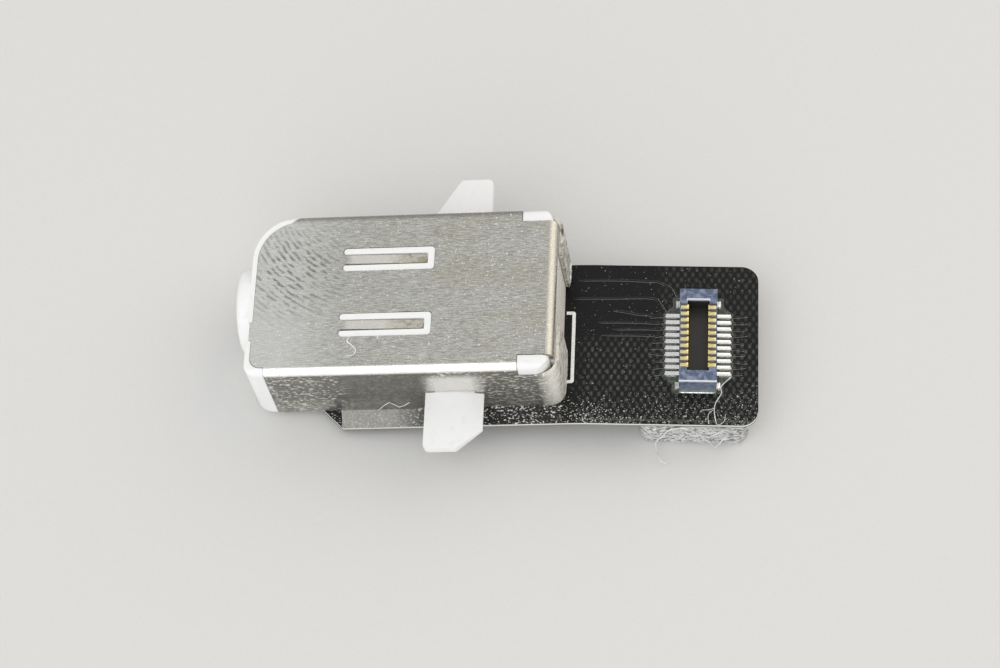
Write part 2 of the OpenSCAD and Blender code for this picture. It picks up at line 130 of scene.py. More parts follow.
def piece(name, shape, material, body="socket"):
    """Makes an object of a mesh drawn in millimetres, gives it its finish and sets it on its body."""
    bmesh.ops.recalc_face_normals(shape, faces=shape.faces)
    for face in shape.faces:
        face.smooth = True
    for edge in shape.edges:
        edge.smooth = edge.is_manifold and edge.calc_face_angle(0) < SHARP
    bmesh.ops.scale(shape, vec=(MM,) * 3, verts=shape.verts)
    mesh = bpy.data.meshes.new(name)
    shape.to_mesh(mesh)
    shape.free()
    mesh.materials.append(material)
    made = bpy.data.objects.new(name, mesh)
    made.modifiers.new("flat_faces_even", "WEIGHTED_NORMAL").keep_sharp = True
    bpy.context.scene.collection.objects.link(made)
    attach(made, body)
    return made


# Moulded nylon: a clean, slightly cool white with an even low gloss, a fine moulded grain, and hardly
# any marks from handling.
nylon, tree, shader, place = start("moulded_white_nylon", Roughness=0.4, IOR=1.53)
rubs = patches(tree, place, 0.5, 0.58, 0.8, detail=4)
tree.links.new(add(tree, "Mix", rubs, "#F4F4F3", "#EAEAE8", data_type="RGBA"), shader.inputs["Base Color"])
tree.links.new(
    add(tree, "Bump", Height=patches(tree, place, 0.09, 0.3, 0.7), Distance=0.0015 * MM),
    shader.inputs["Normal"],
)

housing = piece("housing_moulding", softened("housing", 0.06), nylon)
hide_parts("housing")


# Shield can: one sheet of nickel-plated steel, stamped and folded down over the housing, with two
# spring tongues cut in its top, a window for each ear and open corners at the rear.

CAN_TOP = 2.45
CAN_REAR = 17.2  # the outer face of the rear flaps
FOLD_FOOT = 2.14  # height where the folds end and the walls begin
SPECK = 0.13  # size of the nicks


def within(tree, value, low, high, soft):
    """A mask that is 1 where a value lies from low to high, and fades out over soft on both sides."""
    rise = add(tree, "MapRange", value, low - soft, low)
    fall = add(tree, "MapRange", value, high + soft, high)
    return add(tree, "Math", rise, fall, operation="MULTIPLY")


# Rolled plated steel: a warm light grey with faint streaks along the strip, bright nicks that gather
# towards the rear, a painted highlight on the near fold, painted shade on the far fold, a rear fold painted
# a duller cream that shades its highlight down, short broken ripples at the front where it has rubbed, pale
# tongues with tarnished tips, walls painted darker as a painted dark reflection, with darker blotches and
# pale flecks, a painted reflection of the ears on the walls above them, where they are glossier, and a
# tinned rear.
WAVE_TURN = 2 * math.pi / 20  # Blender's bands repeat after this length at scale 1
RIPPLE_STEP = 0.3  # from one ripple to the next
RIPPLE_AT = (2.4, 1.2, CAN_TOP)  # middle of the rubbed area
RIPPLE_ROUND = (8.0, 7.0, 0.0)  # what the ripples curve round
steel, tree, shader, place = start("rolled_plated_steel")
axes = add(tree, "SeparateXYZ", place).node.outputs
wall = add(tree, "MapRange", axes["Z"], FOLD_FOOT, 2.06)
tinned = add(
    tree,
    "Math",
    add(tree, "MapRange", axes["X"], 15.9, 16.8),
    add(tree, "MapRange", axes["Z"], 1.9, 1.6),
    operation="MULTIPLY",
)
# Near fold: where a painted highlight lies along the fold under the top's near edge.
near_fold_highlight = add(
    tree,
    "Math",
    add(tree, "MapRange", axes["Y"], -4.75, -4.85),
    within(tree, axes["Z"], FOLD_FOOT, 2.5, 0.04),
    operation="MULTIPLY",
)
# Far fold: where painted shade darkens the fold along the top's far edge.
far_fold_shade = add(
    tree,
    "Math",
    add(tree, "MapRange", axes["Y"], 4.25, 4.55),
    add(tree, "MapRange", axes["Z"], 1.9, 2.0),
    operation="MULTIPLY",
)
# Rear fold: painted a duller cream, a painted shade that dims the lamp's highlight on it; it is also
# rougher.
dimmed_rear_fold = add(
    tree,
    "Math",
    add(tree, "MapRange", axes["X"], 16.5, 16.6),
    within(tree, axes["Z"], 2.1, 2.5, 0.1),
    operation="MULTIPLY",
)
# Walls above the ears: where a painted reflection of the white ears lies; the steel is glossier there too.
ear_reflection = add(
    tree,
    "Math",
    within(tree, axes["X"], 10.3, 12.3, 0.8),
    within(tree, axes["Z"], -0.1, 1.3, 0.6),
    operation="MULTIPLY",
)
tongue = add(
    tree,
    "Math",
    within(tree, axes["X"], 5.1, 9.8, 0.05),
    within(tree, axes["Y"], -2.5, 2.1, 0.05),
    operation="MULTIPLY",
)
tongue = add(tree, "Math", tongue, within(tree, axes["Z"], 2.27, 2.435, 0.01), operation="MULTIPLY")
streaks = patches(tree, place, (0.42, 0.04, 0.04), 0.32, 0.68, detail=6)
grain = patches(tree, place, (0.11, 0.05, 0.05), 0.38, 0.62, detail=4)
tan = patches(tree, place, (3.4, 1.6, 2.0), 0.42, 0.72, detail=3)
tan = add(tree, "Math", tan, add(tree, "MapRange", axes["X"], 4.5, 9.5), operation="MULTIPLY")
blotches = patches(tree, place, (0.3, 0.22, 0.35), 0.44, 0.62, detail=5)
tarnish = add(tree, "Math", tongue, add(tree, "MapRange", axes["X"], 7.6, 8.8), operation="MULTIPLY")
tarnish = add(tree, "Math", tarnish, add(tree, "MapRange", blotches, 0, 1, 0.4, 1.0), operation="MULTIPLY")
flecks = patches(tree, place, (0.24, 0.12, 0.11), 0.53, 0.63, detail=6)
flecks = add(
    tree,
    "Math",
    flecks,
    add(tree, "MapRange", within(tree, axes["X"], 5.6, 9.4, 0.8), 0, 1, 1.0, 0.2),
    operation="MULTIPLY",
)
specks = add(tree, "TexNoise", Vector=place, Scale=1 / SPECK, Detail=2.0)
specks = add(tree, "Math", specks, add(tree, "MapRange", axes["X"], 3.0, 15.0, 0.0, 0.035), operation="ADD")
nicks = add(tree, "MapRange", specks, 0.69, 0.73)
rubbed = add(tree, "MapRange", add(tree, "VectorMath", place, RIPPLE_AT, operation="DISTANCE"), 3.8, 1.2)
ripples = add(
    tree,
    "TexWave",
    wave_type="RINGS",
    rings_direction="Z",
    Vector=add(tree, "VectorMath", place, RIPPLE_ROUND, operation="SUBTRACT"),
    Scale=WAVE_TURN / RIPPLE_STEP,
    Distortion=3.0,
    Detail=2.0,
).node.outputs["Fac"]
ripples = add(
    tree,
    "Math",
    ripples,
    patches(tree, place, (0.5, 0.25, 0.3), 0.42, 0.58, turn=0.5),
    operation="MULTIPLY",
)
ripples = add(tree, "Math", ripples, rubbed, operation="MULTIPLY")
tone = add(tree, "Mix", tan, "#FFFEF6", "#F2EBD6", data_type="RGBA")
tone = add(tree, "Mix", streaks, tone, "#AEACA1", data_type="RGBA")
tone = add(
    tree, "Mix", add(tree, "Math", grain, 0.4, operation="MULTIPLY"), tone, "#85827A", data_type="RGBA"
)
tone = add(
    tree, "Mix", add(tree, "MapRange", axes["X"], 5.5, 2.0, 0.0, 0.5), tone, "#FFFFFA", data_type="RGBA"
)
tone = add(
    tree, "Mix", add(tree, "Math", ripples, 0.8, operation="MULTIPLY"), tone, "#77756F", data_type="RGBA"
)
tone = add(
    tree, "Mix", add(tree, "Math", tongue, 0.7, operation="MULTIPLY"), tone, "#FFFBF0", data_type="RGBA"
)
tone = add(
    tree, "Mix", add(tree, "Math", tarnish, 0.8, operation="MULTIPLY"), tone, "#A69C80", data_type="RGBA"
)
# Painted highlight: the near fold turned nearly white.
tone = add(
    tree, "Mix", add(tree, "Math", near_fold_highlight, 0.9, operation="MULTIPLY"), tone, "#FFFEFA", data_type="RGBA"
)
# Painted shade on the far fold.
tone = add(
    tree, "Mix", add(tree, "Math", far_fold_shade, 0.7, operation="MULTIPLY"), tone, "#74726B", data_type="RGBA"
)
# Painted shade: the rear fold in a duller cream than the top, with the grain.
tone = add(
    tree,
    "Mix",
    add(tree, "Math", dimmed_rear_fold, 0.85, operation="MULTIPLY"),
    tone,
    add(tree, "Mix", grain, "#DEDACE", "#C0BCB0", data_type="RGBA"),
    data_type="RGBA",
)
# Walls: painted darker as a painted dark reflection, lighter towards the foot, with darker blotches.
wall_shade_and_scuffs = add(
    tree, "Mix", add(tree, "MapRange", axes["Z"], -0.5, -1.5), "#83817B", "#AAA8A1", data_type="RGBA"
)
wall_shade_and_scuffs = add(
    tree,
    "Mix",
    add(tree, "Math", blotches, 0.35, operation="MULTIPLY"),
    wall_shade_and_scuffs,
    "#5F5D58",
    data_type="RGBA",
)
# The walls take the painted dark reflection with its blotches, and pale flecks over it.
tone = add(
    tree,
    "Mix",
    add(tree, "Math", wall, 0.9, operation="MULTIPLY"),
    tone,
    add(tree, "Mix", flecks, wall_shade_and_scuffs, "#F2F1EB", data_type="RGBA"),
    data_type="RGBA",
)
# Painted reflection of the ears on the walls above them.
tone = add(tree, "Mix", ear_reflection, tone, "#E8E6E0", data_type="RGBA")
dull = patches(tree, place, (0.3, 0.45, 0.28), 0.36, 0.66, detail=4)
dull = add(
    tree, "Math", dull, add(tree, "MapRange", axes["X"], 16.95, 17.15, 0.2, 1.0), operation="MULTIPLY"
)
dull = add(tree, "Math", dull, add(tree, "MapRange", axes["Y"], 1.0, 2.4, 0.6, 1.0), operation="MULTIPLY")
tone = add(
    tree,
    "Mix",
    tinned,
    tone,
    add(tree, "Mix", dull, "#EFECE3", "#57534A", data_type="RGBA"),
    data_type="RGBA",
)
tone = add(tree, "Mix", nicks, tone, "#FFFEFA", data_type="RGBA")
tree.links.new(tone, shader.inputs["Base Color"])
gloss = add(
    tree,
    "Math",
    add(tree, "MapRange", streaks, 0, 1, 0.16, 0.28),
    add(tree, "MapRange", ear_reflection, 0, 1, 1.0, 0.4),
    operation="MULTIPLY",
)
gloss = add(tree, "Math", gloss, add(tree, "Math", dimmed_rear_fold, 0.14, operation="MULTIPLY"), operation="ADD")
matt = add(
    tree, "Math", add(tree, "Math", wall, ear_reflection, operation="SUBTRACT"), 0.2, operation="MULTIPLY"
)
gloss = add(tree, "Math", gloss, matt, operation="ADD")
tree.links.new(
    add(tree, "Math", gloss, add(tree, "Math", tinned, 0.4, operation="MULTIPLY"), operation="ADD"),
    shader.inputs["Roughness"],
)
tree.links.new(add(tree, "MapRange", tinned, 0, 1, 1.0, 0.4), shader.inputs["Metallic"])
height = add(
    tree,
    "Math",
    add(tree, "Math", ripples, 4.0, operation="MULTIPLY"),
    add(tree, "Math", grain, 0.8, operation="MULTIPLY"),
    operation="ADD",
)
height = add(
    tree,
    "Math",
    height,
    add(tree, "Math", tinned, add(tree, "Math", specks, 16.0, operation="MULTIPLY"), operation="MULTIPLY"),
    operation="ADD",
)
height = add(
    tree,
    "Math",
    height,
    add(tree, "Math", wall, add(tree, "Math", flecks, 3.0, operation="MULTIPLY"), operation="MULTIPLY"),
    operation="ADD",
)
height = add(tree, "Math", height, streaks, operation="ADD")
tree.links.new(
    add(
        tree,
        "Bump",
        Height=add(
            tree, "Math", height, add(tree, "Math", nicks, 2.0, operation="MULTIPLY"), operation="SUBTRACT"
        ),
        Distance=0.003 * MM,
    ),
    shader.inputs["Normal"],
)

can = piece("shield_can_sheet", softened("shield_can", 0.03), steel)
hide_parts("shield_can")

# Locating tab of the can's top plate, in the notch of the flange.
TAB_LOW, TAB_HIGH = (0.13, -3.04, 2.27), (0.42, -1.96, 2.44)
tab = bmesh.new()
bmesh.ops.create_cube(tab, size=1)
for vert in tab.verts:
    vert.co = [low + (high - low) * (c + 0.5) for c, low, high in zip(vert.co, TAB_LOW, TAB_HIGH)]
bmesh.ops.bevel(tab, geom=tab.edges[:], offset=0.03, segments=2, profile=0.6, affect="EDGES")
piece("shield_can_tab", tab, steel)


# Contact springs: five strips of phosphor bronze, stamped, bent and gold-plated, soldered by the
# foot to the circuit. Each leans into the bore and gives way to the plug, on a body of its own.

# Gold plating on bronze strip: a warm yellow metal, bright, with faint drawn lines along the strip.
gold, tree, shader, place = start("gold_plated_bronze", Metallic=1.0)
drawn = patches(tree, place, (0.5, 0.05, 0.05), 0.3, 0.7)
tree.links.new(add(tree, "Mix", drawn, "#E6B85C", "#CF9A3E", data_type="RGBA"), shader.inputs["Base Color"])
tree.links.new(add(tree, "MapRange", drawn, 0, 1, 0.2, 0.34), shader.inputs["Roughness"])

for node, body in (
    ("sleeve_contact", "sleeve_arm"),
    ("second_ring_contact", "second_ring_arm"),
    ("first_ring_contact", "first_ring_arm"),
    ("tip_contact", "tip_arm"),
    ("detect_contact", "detect_arm"),
):
    spring = piece(f"{node}_strip", softened(node, 0.04), gold, body)
    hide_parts(node)


# Flexible circuit: copper between two black polyimide films, die-cut to shape. It lies flat under
# the socket, dips behind it, and carries the connector on its tail.

FILM_TOP = -2.1  # the film's upper side under the socket
FILM_THICK = 0.15
BEND_START = CAN_REAR  # the tail starts to dip behind the can
BEND_LENGTH = 1.5
TAIL_DIP = math.radians(5.2)
FILM_NEAR, FILM_FAR = -6.3, 3.65
BEND_RADIUS = BEND_LENGTH / TAIL_DIP
FILM_MID = FILM_TOP - FILM_THICK / 2
TAIL = Matrix.Translation(
    (
        BEND_START + BEND_RADIUS * math.sin(TAIL_DIP),
        0,
        FILM_MID - BEND_RADIUS * (1 - math.cos(TAIL_DIP)),
    )
) @ Matrix.Rotation(TAIL_DIP, 4, "Y")


def film_at(x, y, lift=0.0):
    """The point on the film's upper side above x and y, raised by lift."""
    if x <= BEND_START:
        return Vector((x, y, FILM_TOP + lift))
    turn = min(math.asin(min(1, (x - BEND_START) / BEND_RADIUS)), TAIL_DIP)
    bend_x = BEND_START + BEND_RADIUS * math.sin(turn)
    z = FILM_MID - BEND_RADIUS * (1 - math.cos(turn)) - (x - bend_x) * math.tan(turn)
    return Vector((x, y, z + (FILM_THICK / 2 + lift) / math.cos(turn)))


def on_tail(along, y, lift=0.0):
    """The point on the tail at a length along it from the end of the bend, raised by lift."""
    return TAIL @ Vector((along, y, FILM_THICK / 2 + lift))


def cut_edge(tree):
    """A mask that is 1 on the upright faces of a sheet, where it was cut."""
    facing = add(tree, "NewGeometry").node.outputs["True Normal"]
    upward = add(tree, "SeparateXYZ", facing).node.outputs["Z"]
    return add(tree, "MapRange", add(tree, "Math", upward, operation="ABSOLUTE"), 0.75, 0.55)


# Black polyimide film: near black and glossy, with the copper's diamond grid just showing through,
# pale dust that lies thickest in the corner behind the can, and a pale cut edge where the layers show.
GRID_STEP = 0.36  # spacing of the copper grid's lines
GRID_LEAN = math.radians(31.5)
film, tree, shader, place = start("black_polyimide_film", Roughness=0.3, IOR=1.36)
axes = add(tree, "SeparateXYZ", place).node.outputs
bands = []
for lean in (GRID_LEAN, -GRID_LEAN):
    turned = add(tree, "VectorRotate", rotation_type="Z_AXIS", Vector=place, Angle=lean)
    bands.append(add(tree, "TexWave", Vector=turned, Scale=WAVE_TURN / GRID_STEP).node.outputs["Fac"])
grid = add(tree, "MapRange", add(tree, "Math", *bands, operation="ADD"), 0.9, 2.0)
behind_can = add(tree, "MapRange", axes["X"], 17.4, 18.4)
near_half = add(tree, "MapRange", axes["Y"], -0.7, -1.4)
tail_end = add(tree, "MapRange", axes["X"], 22.0, 22.6, 0.0, 0.7)
grid_area = add(
    tree,
    "Math",
    behind_can,
    add(tree, "Math", near_half, tail_end, operation="MAXIMUM"),
    operation="MULTIPLY",
)
grid = add(tree, "Math", grid, grid_area, operation="MULTIPLY")
grid = add(
    tree,
    "Math",
    grid,
    add(tree, "MapRange", patches(tree, place, 0.7, 0.36, 0.64), 0, 1, 0.5, 1.0),
    operation="MULTIPLY",
)
dust_area = add(tree, "MapRange", axes["Y"], -3.6, -5.8, 0.1, 1.0)
heap = add(
    tree,
    "Math",
    add(tree, "MapRange", axes["X"], 22.0, 18.5),
    add(tree, "MapRange", axes["Y"], -4.3, -5.5),
    operation="MULTIPLY",
)
sprinkled = add(
    tree,
    "Math",
    add(tree, "MapRange", axes["X"], 20.8, 22.4, 0.0, 0.5),
    add(tree, "MapRange", axes["Y"], -3.6, -4.6),
    operation="MULTIPLY",
)
dust_area = add(
    tree, "Math", add(tree, "Math", dust_area, heap, operation="ADD"), sprinkled, operation="ADD"
)
dust = add(
    tree,
    "Math",
    patches(tree, place, 0.095, 0.0, 1.0, detail=3),
    add(tree, "Math", dust_area, 0.062, operation="MULTIPLY"),
    operation="ADD",
)
dust = add(tree, "MapRange", dust, 0.7, 0.75)
margin = add(tree, "Math", within(tree, axes["Y"], -6.08, -6.02, 0.06), behind_can, operation="MULTIPLY")
tone = add(
    tree, "Mix", add(tree, "Math", grid, 0.9, operation="MULTIPLY"), "#0B0B0B", "#52564F", data_type="RGBA"
)
tone = add(
    tree, "Mix", add(tree, "Math", margin, 0.5, operation="MULTIPLY"), tone, "#5E605A", data_type="RGBA"
)
tone = add(tree, "Mix", dust, tone, "#CFCFC9", data_type="RGBA")
tone = add(tree, "Mix", cut_edge(tree), tone, "#E8E6E0", data_type="RGBA")
tree.links.new(tone, shader.inputs["Base Color"])
height = add(
    tree,
    "Math",
    add(tree, "Math", grid, patches(tree, place, 0.5, 0.3, 0.7), operation="ADD"),
    0.5,
    operation="MULTIPLY",
)
tree.links.new(
    add(tree, "Bump", Height=add(tree, "Math", height, dust, operation="ADD"), Distance=0.006 * MM),
    shader.inputs["Normal"],
)

circuit = piece("flex_circuit_film", softened("flex_circuit", 0.02), film)
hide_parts("flex_circuit")

# Raised lines in the film where it lies over copper: from the socket towards the connector, and short
# ones at each of the connector's feet.
TRACE_WIDTH = 0.15
TRACE_RISE = 0.028
RIDGE = (  # section of a ridge: share of its half width, and of its rise
    (-1, -0.3), (-0.7, 0.5), (-0.35, 0.87), (0, 1), (0.35, 0.87), (0.7, 0.5), (1, -0.3),
)
TRACES = (
    ((-1.05, 2.65), (1.35, 2.68), (2.85, 2.62), (3.45, 2.6), (4.15, 2.2), (4.45, 1.55)),
    ((-1.25, 1.48), (1.15, 1.52), (3.15, 1.55), (3.65, 1.1), (3.95, 0.55)),
    ((0.95, 0.75), (1.55, 0.67), (2.35, 0.52), (3.7, 0.43)),
    ((0.15, -0.02), (1.95, 0.01), (3.7, -0.05)),
    ((1.05, -0.45), (2.75, -0.4), (3.7, -0.45)),
    ((0.35, -0.82), (2.55, -0.8), (3.7, -0.85)),
)
ROW_MIDDLE = (5.71, -1.395)  # middle of the connector: along the tail, and across the part
CONTACT_STEP = 0.4
CONTACTS = 10
FOOT_END = 1.8  # from the connector's middle line to the end of a contact's foot


def smoothed(points, steps):
    """A smooth line through points, with that many steps between each two."""
    points = [Vector(p) for p in points]
    run = [2 * points[0] - points[1], *points, 2 * points[-1] - points[-2]]
    line = []
    for a, b, c, d in zip(run, run[1:], run[2:], run[3:]):
        for i in range(steps):
            t = i / steps
            point = 2 * b + (c - a) * t + (2 * a - 5 * b + 4 * c - d) * t**2
            line.append((point + (3 * b - a - 3 * c + d) * t**3) / 2)
    return [*line, points[-1]]


def ridge(shape, line, width, rise, up):
    """Adds a low rounded ridge along a line of points, with its ends tapered to nothing."""
    rows = []
    for i, point in enumerate(line):
        ahead = line[min(i + 1, len(line) - 1)] - line[max(i - 1, 0)]
        side = ahead.cross(up).normalized()
        taper = min(1.0, 0.35 + 2 * min(i, len(line) - 1 - i) / 3)
        rows.append(
            [
                shape.verts.new(point + side * (width / 2 * across * taper) + up * (rise * tall * taper))
                for across, tall in RIDGE
            ]
        )
    for a, b in zip(rows, rows[1:]):
        for i in range(len(a)):
            j = (i + 1) % len(a)
            shape.faces.new((a[i], a[j], b[j], b[i]))
    shape.faces.new(rows[0][::-1])
    shape.faces.new(rows[-1])


tail_up = TAIL.to_3x3() @ Vector((0, 0, 1))
traces = bmesh.new()
for route in TRACES:
    line = smoothed([(*p, 0) for p in route], 6)
    line = [TAIL @ p for p in line]
    ridge(traces, [film_at(p.x, p.y) for p in line], TRACE_WIDTH, TRACE_RISE, tail_up)
fan = random.Random(4)
for row in (-1, 1):
    for i in range(CONTACTS):
        y = ROW_MIDDLE[1] + (i - (CONTACTS - 1) / 2) * CONTACT_STEP
        reach = fan.uniform(0.5, 1.0)
        bend = fan.uniform(-0.12, 0.12)
        route = ((FOOT_END - 0.1, 0), (FOOT_END + reach * 0.5, bend * 0.3), (FOOT_END + reach, bend))
        line = smoothed([on_tail(ROW_MIDDLE[0] + row * a, y + b) for a, b in route], 5)
        ridge(traces, line, TRACE_WIDTH, TRACE_RISE, tail_up)
piece("film_traces", traces, film)


# Overlay on the film along the near side of the can: a rough grey grounding layer, caked with dust
# towards the front, where its cut end shows on the plain film.

OVERLAY_FRONT, OVERLAY_BACK = 4.66, 17.0
OVERLAY_NEAR, OVERLAY_FAR = -6.28, -5.1
OVERLAY_THICK = 0.03
OVERLAY_SLANT = 0.12  # how far its front end runs back


def slab(outline, lift, thick):
    """A thin plate on the film: an outline of points on it, from lift up to lift and thick."""
    shape = bmesh.new()
    low = [shape.verts.new(film_at(x, y, lift)) for x, y in outline]
    high = [shape.verts.new(film_at(x, y, lift + thick)) for x, y in outline]
    shape.faces.new(low[::-1])
    shape.faces.new(high)
    for i in range(len(outline)):
        j = (i + 1) % len(outline)
        shape.faces.new((low[i], low[j], high[j], high[i]))
    return shape


# Dusty conductive layer: dull grey where dust lies on it, going over to black with pale grains.
dusty, tree, shader, place = start("dusty_grounding_layer", Roughness=0.5)
axes = add(tree, "SeparateXYZ", place).node.outputs
caked = add(tree, "MapRange", axes["X"], 9.8, 7.6)
grains = patches(tree, place, (0.14, 0.1, 0.1), 0.55, 0.63, detail=5)
pits = patches(tree, place, 0.06, 0.45, 0.65, detail=3)
tone = add(tree, "Mix", caked, "#0B0B0B", "#B9B8B3", data_type="RGBA")
tone = add(
    tree, "Mix", add(tree, "Math", pits, 0.5, operation="MULTIPLY"), tone, "#4A4946", data_type="RGBA"
)
tone = add(
    tree,
    "Mix",
    add(tree, "Math", grains, add(tree, "MapRange", caked, 0, 1, 0.9, 0.6), operation="MULTIPLY"),
    tone,
    "#F4F3EE",
    data_type="RGBA",
)
tree.links.new(tone, shader.inputs["Base Color"])
tree.links.new(add(tree, "Bump", Height=grains, Distance=0.02 * MM), shader.inputs["Normal"])

piece(
    "grounding_overlay",
    slab(
        (
            (OVERLAY_FRONT, OVERLAY_FAR),
            (OVERLAY_FRONT + OVERLAY_SLANT, OVERLAY_NEAR),
            (OVERLAY_BACK, OVERLAY_NEAR),
            (OVERLAY_BACK, OVERLAY_FAR),
        ),
        0.0,
        OVERLAY_THICK,
    ),
    dusty,
)


# Print on the film: one white bracket behind the can that marks where it sits. It is ink of a few
# thousandths of a millimetre, screen-printed on the film before the can is soldered.

BRACKET_X = 17.5
BRACKET_NEAR, BRACKET_FAR = -3.83, 0.66
BRACKET_SERIF = 0.42
PRINT_WIDTH = 0.19
PRINT_CORNER = 0.1  # how far its outer corners are cut off
PRINT_THICK = 0.008

# Screen ink: a flat, slightly uneven white.
ink, tree, shader, place = start("white_screen_ink", Roughness=0.6)
tree.links.new(
    add(tree, "Mix", patches(tree, place, 0.12, 0.45, 0.75), "#FAFAF8", "#DCDCD9", data_type="RGBA"),
    shader.inputs["Base Color"],
)

piece(
    "print_bracket",
    slab(
        (
            (BRACKET_X - BRACKET_SERIF, BRACKET_FAR),
            (BRACKET_X + PRINT_WIDTH / 2 - PRINT_CORNER, BRACKET_FAR),
            (BRACKET_X + PRINT_WIDTH / 2, BRACKET_FAR - PRINT_CORNER),
            (BRACKET_X + PRINT_WIDTH / 2, BRACKET_NEAR + PRINT_CORNER),
            (BRACKET_X + PRINT_WIDTH / 2 - PRINT_CORNER, BRACKET_NEAR),
            (BRACKET_X - BRACKET_SERIF, BRACKET_NEAR),
            (BRACKET_X - BRACKET_SERIF, BRACKET_NEAR + PRINT_WIDTH),
            (BRACKET_X - PRINT_WIDTH / 2, BRACKET_NEAR + PRINT_WIDTH),
            (BRACKET_X - PRINT_WIDTH / 2, BRACKET_FAR - PRINT_WIDTH),
            (BRACKET_X - BRACKET_SERIF, BRACKET_FAR - PRINT_WIDTH),
        ),
        0.0,
        PRINT_THICK,
    ),
    ink,
)


# Stiffening plates: two pieces of black glass laminate, glued under the film where the socket and
# the connector are soldered.

# Glass laminate: matt black with the glass cloth's fine weave, and grey at its cut edges.
CLOTH_STEP = 0.3  # from thread to thread, drawn coarser than the real cloth so that it shows
laminate, tree, shader, place = start("black_glass_laminate", Roughness=0.6)
threads = add(tree, "TexWave", Vector=place, Scale=WAVE_TURN / CLOTH_STEP, Distortion=1.0)
threads = threads.node.outputs["Fac"]
tone = add(tree, "Mix", threads, "#141413", "#252523", data_type="RGBA")
tree.links.new(
    add(tree, "Mix", cut_edge(tree), tone, "#86847D", data_type="RGBA"), shader.inputs["Base Color"]
)
tree.links.new(add(tree, "Bump", Height=threads, Distance=0.006 * MM), shader.inputs["Normal"])

for node in ("socket_plate", "tail_plate"):
    plate = piece(f"{node}_laminate", softened(node, 0.02), laminate)
    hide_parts(node)


# Foam pad: a die-cut block of grey fibrous foam, glued under the tail. It presses the connector home
# when the case is closed.

PAD_FRONT, PAD_BACK = 2.56, 8.56  # along the tail
PAD_LOW, PAD_HIGH = -2.275, -0.175  # off the middle of the film
PAD_CORNER = 0.6  # radius of its die-cut corners
PAD_ROUND = 0.14  # how far its upper and lower rims are worn round
PAD_SWELL = 0.05  # how far the glued top pulls its sides in
PAD_INSET = 0.02  # kept free round the pad for its rough skin
PAD_ROUGH = 0.05  # depth of the rough skin
PAD_LUMPS = 2.2  # lumps of the skin in a millimetre

# Fibrous foam: light grey, quite matt, with a tangle of paler and greyer fibres, and painted shade in its
# pores.
foam, tree, shader, place = start("grey_fibrous_foam", Roughness=0.9, Sheen_Weight=0.25)
tangle = patches(tree, place, (0.34, 0.1, 0.1), 0.38, 0.62, turn=0.5, detail=4)
shaded_pores = patches(tree, place, (0.28, 0.15, 0.12), 0.51, 0.6, detail=5)
tone = add(tree, "Mix", tangle, "#D0D0CE", "#FFFFFD", data_type="RGBA")
# Painted shade darkens the pores.
tree.links.new(
    add(
        tree, "Mix", add(tree, "Math", shaded_pores, 0.85, operation="MULTIPLY"), tone, "#656564", data_type="RGBA"
    ),
    shader.inputs["Base Color"],
)
tree.links.new(
    add(tree, "Bump", Height=add(tree, "Math", tangle, shaded_pores, operation="SUBTRACT"), Distance=0.07 * MM),
    shader.inputs["Normal"],
)


def pad_outline(inset, steps=14, along=26):
    """Points round the pad seen from above, inset from its sides, with round corners."""
    low, high = Vector((PAD_FRONT, FILM_NEAR)), Vector((PAD_BACK, FILM_FAR))
    points = []
    for corner, (cx, cy) in enumerate(
        (
            (high.x - PAD_CORNER, high.y - PAD_CORNER),
            (low.x + PAD_CORNER, high.y - PAD_CORNER),
            (low.x + PAD_CORNER, low.y + PAD_CORNER),
            (high.x - PAD_CORNER, low.y + PAD_CORNER),
        )
    ):
        for i in range(steps):
            angle = (corner + i / (steps - 1)) * math.pi / 2
            radius = PAD_CORNER - inset
            points.append(Vector((cx + radius * math.cos(angle), cy + radius * math.sin(angle))))
    ring = []
    for a, b in zip(points, points[1:] + points[:1]):
        count = along if (b - a).length > 1 else 1
        ring += [a.lerp(b, i / count) for i in range(count)]
    return ring


pad = bmesh.new()
levels = [0, 0.03, 0.08, 0.16, 0.28, 0.4, 0.5, 0.6, 0.72, 0.84, 0.92, 0.97, 1]
rings = []
for level in levels:
    height = PAD_LOW + (PAD_HIGH - PAD_LOW) * level
    rim = max(0.0, 1 - min(level, 1 - level) * (PAD_HIGH - PAD_LOW) / PAD_ROUND)
    inset = PAD_ROUND * (1 - math.sqrt(1 - rim**2)) + PAD_SWELL * (1 - math.sin(math.pi * level))
    ring = []
    for p in pad_outline(PAD_INSET + inset):
        rough = PAD_ROUGH * noise.fractal(Vector((p.x, p.y, height)) * PAD_LUMPS, 1.0, 2.0, 4)
        inward = (Vector((PAD_FRONT + PAD_BACK, FILM_NEAR + FILM_FAR)) / 2 - p).normalized()
        q = p + inward * max(-PAD_INSET, rough)
        ring.append(pad.verts.new(TAIL @ Vector((q.x, q.y, height))))
    rings.append(ring)
for a, b in zip(rings, rings[1:]):
    for i in range(len(a)):
        j = (i + 1) % len(a)
        pad.faces.new((a[i], a[j], b[j], b[i]))
pad.faces.new(rings[0][::-1])
pad.faces.new(rings[-1])
pad = piece("foam_pad_block", pad, foam)
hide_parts("foam_pad")

# Loose fibres on the pad's sides: short curled hairs that stand a little off the foam.
FIBRE_RADIUS = 0.012
FIBRES = 130
FIBRE_POINTS = 5
FIBRE_CURL = 0.9  # most that a fibre turns from point to point, in radians

# Polyester fibre: thin, pale and slightly shiny.
fibre, tree, shader, place = start("pale_polyester_fibre", Roughness=0.5, Sheen_Weight=0.3)
tree.links.new(
    add(tree, "Mix", patches(tree, place, 0.4, 0.4, 0.6), "#F2F2F0", "#D2D2D0", data_type="RGBA"),
    shader.inputs["Base Color"],
)


